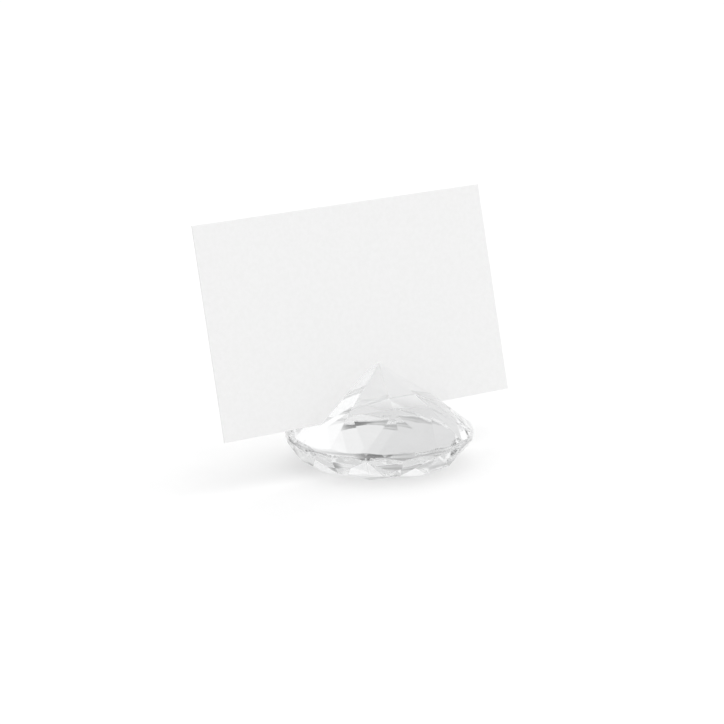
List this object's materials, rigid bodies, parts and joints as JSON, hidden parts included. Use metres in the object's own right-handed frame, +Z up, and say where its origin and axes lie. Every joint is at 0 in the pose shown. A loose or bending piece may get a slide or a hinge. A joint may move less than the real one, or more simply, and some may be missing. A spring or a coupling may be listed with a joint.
{
  "type": "place card holder",
  "caption": "Clear faceted stone in the shape of a round brilliant, standing on its table facet, with a leaning open slot that holds a plain card upright on a table.",
  "frame": {"origin": "centre of the table facet that the stone stands on", "axes": "+X along the slot and the card's width, -Y the side that the card faces, +Z up"},
  "size_m": [0.09, 0.048, 0.0652],
  "materials": {
    "clear_acrylic": "polished clear acrylic",
    "card_stock": "smooth uncoated card stock"
  },
  "bodies": {
    "stone": {"faceted_stone": "clear_acrylic"},
    "card": {"place_card": "card_stock"}
  },
  "joints": [
    {"name": "card_lift", "type": "slide", "parent": "stone", "child": "card", "axis": [0, 0.2453, 0.9694], "range_m": [0, 0.02]}
  ]
}
